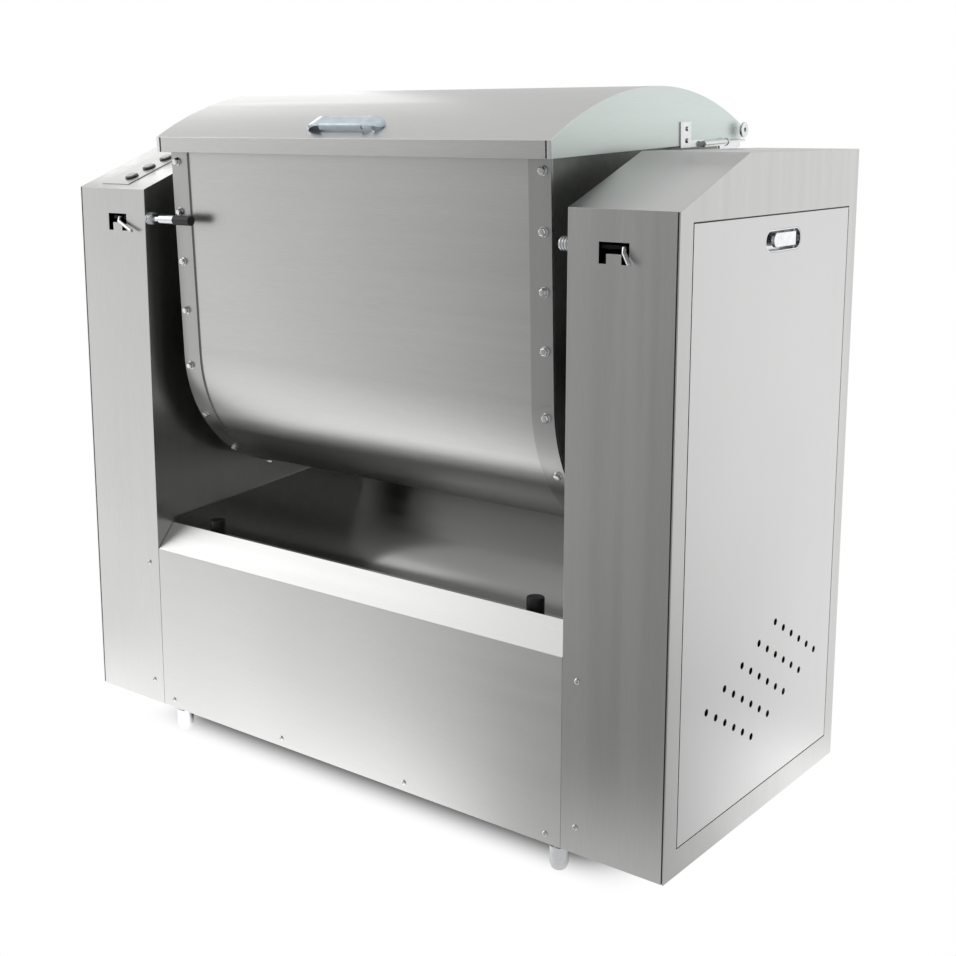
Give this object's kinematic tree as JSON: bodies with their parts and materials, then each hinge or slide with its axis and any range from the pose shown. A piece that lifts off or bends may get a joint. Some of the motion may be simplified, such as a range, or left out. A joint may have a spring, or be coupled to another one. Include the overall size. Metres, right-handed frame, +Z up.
{
  "type": "tilting trough dough mixer",
  "caption": "Free-standing horizontal dough mixer: a U-shaped trough with an arched lid tilts between two steel pillars over a catch basin, with lock bolts and a geared helical agitator.",
  "frame": {"origin": "on the floor under the middle of the machine, in the plane of the agitator's axis", "axes": "+X to the operator's right along the agitator's shaft, -Y towards the operator, +Z up"},
  "size_m": [1.34, 0.6499, 1.2602],
  "materials": {
    "stainless_panels": "brushed vertically, satin",
    "stainless_polished": "fine ground, near mirror",
    "stainless_trough": "brushed, satin",
    "stainless_lid": "brushed lengthwise, satin",
    "lid_end_steel": "satin, pale",
    "stainless_plate": "machined, dull",
    "frame_steel": "painted square tube",
    "black_rubber": "matt",
    "belt_rubber": "matt",
    "white_seal": "smooth",
    "bright_hardware": "bright",
    "machined_steel": "turned",
    "cast_pulley": "machined casting",
    "bronze_bush": "bronze bearing metal",
    "motor_paint": "painted casting",
    "grey_paint": "painted sheet",
    "handle_chrome": "plated",
    "control_plate_steel": "satin",
    "button_pale": "plain, unlettered"
  },
  "bodies": {
    "frame": {"base_frame": "frame_steel", "left_pillar_shell": "stainless_panels", "right_pillar_shell": "stainless_panels", "front_panel": "stainless_panels", "catch_basin": "stainless_polished", "rear_panel": "stainless_panels", "basin_buffers": "black_rubber", "panel_screws": "bright_hardware", "levelling_feet": "bright_hardware", "trunnion_bearings": "cast_pulley", "lock_bushes": "bright_hardware", "door_pivot_pins": "bright_hardware", "countershaft_bearing": "cast_pulley", "drive_belts": "belt_rubber", "motor": "motor_paint", "motor_bracket": "frame_steel", "electrical_box": "grey_paint", "control_plate": "control_plate_steel", "button_rings": "handle_chrome"},
    "trough": {"trough_shell": "stainless_trough", "trough_bands": "stainless_trough", "left_end_plate": "stainless_plate", "right_end_plate": "stainless_plate", "left_trunnion": "machined_steel", "right_trunnion": "machined_steel", "trunnion_bushes": "bronze_bush", "shaft_seals": "white_seal", "trough_bolts": "bright_hardware", "lock_socket": "bright_hardware", "lock_socket_cap": "black_rubber", "lid_hinge_lugs": "bright_hardware", "lid_hinge_pins": "bright_hardware"},
    "lid": {"lid_shell": "stainless_lid", "lid_end_walls": "lid_end_steel", "lid_pads": "black_rubber", "lid_handle": "handle_chrome", "lid_hinge_knuckles": "bright_hardware", "lid_side_rod": "bright_hardware"},
    "agitator": {"agitator_shaft": "bright_hardware", "agitator_arms": "bright_hardware", "agitator_blades": "bright_hardware", "main_gear": "machined_steel"},
    "countershaft": {"countershaft": "machined_steel", "drive_pinion": "machined_steel", "large_pulley": "cast_pulley"},
    "motor_rotor": {"motor_shaft": "machined_steel", "motor_pulley": "cast_pulley"},
    "left_bolt": {"left_lock_bolt": "bright_hardware"},
    "right_bolt": {"right_lock_bolt": "bright_hardware"},
    "left_door": {"left_side_door": "stainless_panels", "left_latch_cup": "handle_chrome"},
    "right_door": {"right_side_door": "stainless_panels", "right_latch_cup": "handle_chrome"},
    "left_paddle": {"left_latch_paddle": "handle_chrome"},
    "right_paddle": {"right_latch_paddle": "handle_chrome"},
    "start_button": {"start_button": "button_pale"},
    "stop_button": {"stop_button": "button_pale"},
    "jog_button": {"jog_button": "button_pale"}
  },
  "joints": [
    {"name": "trough_tilt", "type": "hinge", "parent": "frame", "child": "trough", "pos_m": [0, 0, 0.777], "axis": [1, 0, 0], "range_deg": [0, 95]},
    {"name": "lid_open", "type": "hinge", "parent": "trough", "child": "lid", "pos_m": [0, 0.31497, 1.18239], "axis": [-1, 0, 0], "range_deg": [0, 100]},
    {"name": "agitator_spin", "type": "hinge", "parent": "frame", "child": "agitator", "pos_m": [0, 0, 0.777], "axis": [1, 0, 0], "continuous": true},
    {"name": "countershaft_spin", "type": "hinge", "parent": "frame", "child": "countershaft", "pos_m": [0, 0, 0.555], "axis": [1, 0, 0], "continuous": true},
    {"name": "motor_spin", "type": "hinge", "parent": "frame", "child": "motor_rotor", "pos_m": [0, 0, 0.19], "axis": [1, 0, 0], "continuous": true},
    {"name": "left_bolt_slide", "type": "slide", "parent": "frame", "child": "left_bolt", "axis": [-1, 0, 0], "range_m": [-0.0085, 0.0305]},
    {"name": "right_bolt_slide", "type": "slide", "parent": "frame", "child": "right_bolt", "axis": [1, 0, 0], "range_m": [-0.039, 0]},
    {"name": "left_door_open", "type": "hinge", "parent": "frame", "child": "left_door", "pos_m": [-0.666, 0, 0.105], "axis": [0, -1, 0], "range_deg": [0, 85]},
    {"name": "right_door_open", "type": "hinge", "parent": "frame", "child": "right_door", "pos_m": [0.666, 0, 0.105], "axis": [0, 1, 0], "range_deg": [0, 85]},
    {"name": "left_paddle_swing", "type": "hinge", "parent": "left_door", "child": "left_paddle", "pos_m": [-0.665, 0.0705, 1.019], "axis": [0, 0, -1], "range_deg": [0, 40], "stiffness_Nm_per_rad": 0.1, "springref_deg": -5.73},
    {"name": "right_paddle_swing", "type": "hinge", "parent": "right_door", "child": "right_paddle", "pos_m": [0.665, 0.0705, 1.019], "axis": [0, 0, 1], "range_deg": [0, 40], "stiffness_Nm_per_rad": 0.1, "springref_deg": -5.73},
    {"name": "start_press", "type": "slide", "parent": "frame", "child": "start_button", "axis": [0, 0.3596, -0.9331], "range_m": [0, 0.003], "stiffness_N_per_m": 300, "springref_m": -0.001},
    {"name": "stop_press", "type": "slide", "parent": "frame", "child": "stop_button", "axis": [0, 0.3596, -0.9331], "range_m": [0, 0.003], "stiffness_N_per_m": 300, "springref_m": -0.001},
    {"name": "jog_press", "type": "slide", "parent": "frame", "child": "jog_button", "axis": [0, 0.3596, -0.9331], "range_m": [0, 0.003], "stiffness_N_per_m": 300, "springref_m": -0.001}
  ],
  "couplings": [
    {"joint": "countershaft_spin", "follows": "agitator_spin", "ratio": -4.2857},
    {"joint": "motor_spin", "follows": "agitator_spin", "ratio": -15}
  ]
}
